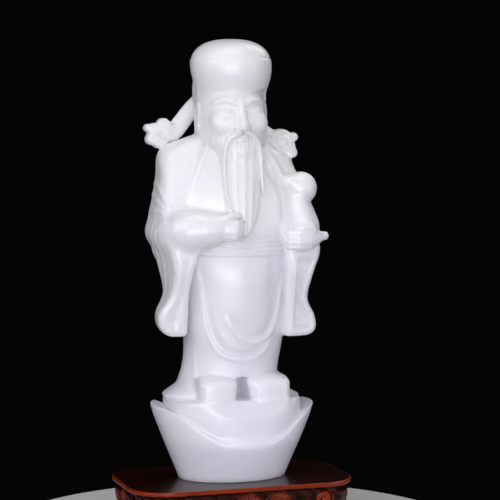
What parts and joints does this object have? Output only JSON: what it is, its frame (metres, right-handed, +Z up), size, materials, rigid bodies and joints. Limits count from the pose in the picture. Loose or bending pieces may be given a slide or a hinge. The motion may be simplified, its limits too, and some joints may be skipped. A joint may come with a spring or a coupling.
{
  "type": "jade god of wealth figure",
  "caption": "White jade god of wealth with long beard, round hat, cloud ribbons and ruyi, standing on a gold-ingot shape, on a low carved wooden stand.",
  "frame": {"origin": "centre of the stand's footprint, on the surface that the feet rest on", "axes": "+Z up along the standing figure; the figure faces -Y; +X is to the right when looking at its face"},
  "size_m": [0.1578, 0.0916, 0.3374],
  "materials": {
    "jade": "polished",
    "rosewood": "lacquered"
  },
  "bodies": {
    "root": {"jade_figure": "jade", "wood_stand": "rosewood"}
  },
  "joints": []
}
